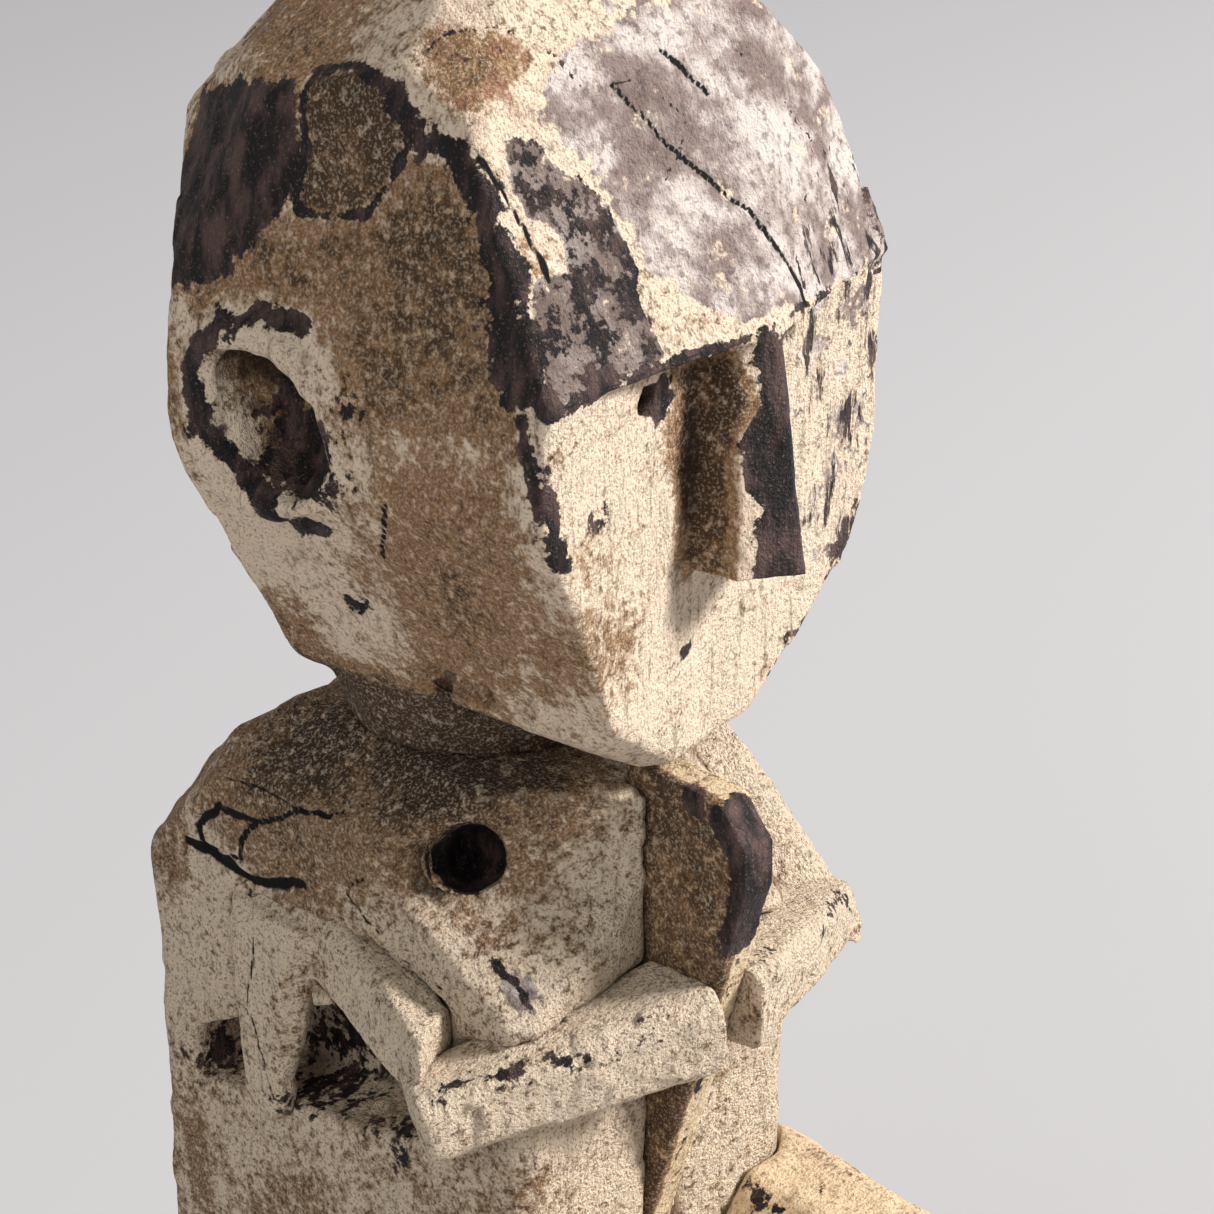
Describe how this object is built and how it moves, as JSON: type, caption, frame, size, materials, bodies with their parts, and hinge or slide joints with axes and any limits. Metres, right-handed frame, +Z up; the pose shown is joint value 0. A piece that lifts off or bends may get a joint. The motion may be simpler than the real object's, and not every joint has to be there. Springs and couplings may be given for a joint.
{
  "type": "carved ancestor figure",
  "caption": "Weathered wooden ancestor figure with a faceted head, seated on a stool with folded arms and both hands at an upright breast board.",
  "frame": {"origin": "underside of the plinth, straight below the middle of the trunk", "axes": "+Z up to the crown, -Y the way the trunk faces, +X the figure's left"},
  "size_m": [0.176, 0.27, 0.555],
  "materials": {
    "cream_wood": "weathered, chalky cream crust with blackish patina",
    "dark_wood": "weathered, brown with a blackish polished edge",
    "warm_wood": "weathered, dry brown",
    "peg_wood": "plain turned hardwood"
  },
  "bodies": {
    "root": {"head": "cream_wood", "trunk": "cream_wood", "right_arm": "cream_wood", "right_forearm": "cream_wood", "left_arm": "cream_wood", "right_leg": "cream_wood", "left_leg": "cream_wood", "breast_board": "dark_wood", "stool": "warm_wood", "plinth": "warm_wood", "neck_peg": "peg_wood", "right_arm_peg": "peg_wood", "left_arm_peg": "peg_wood", "right_forearm_peg": "peg_wood", "left_forearm_peg": "peg_wood", "right_leg_peg": "peg_wood", "left_leg_peg": "peg_wood", "right_foot_peg": "peg_wood", "left_foot_peg": "peg_wood", "right_seat_peg": "peg_wood", "left_seat_peg": "peg_wood", "right_stool_peg": "peg_wood", "left_stool_peg": "peg_wood"}
  },
  "joints": []
}
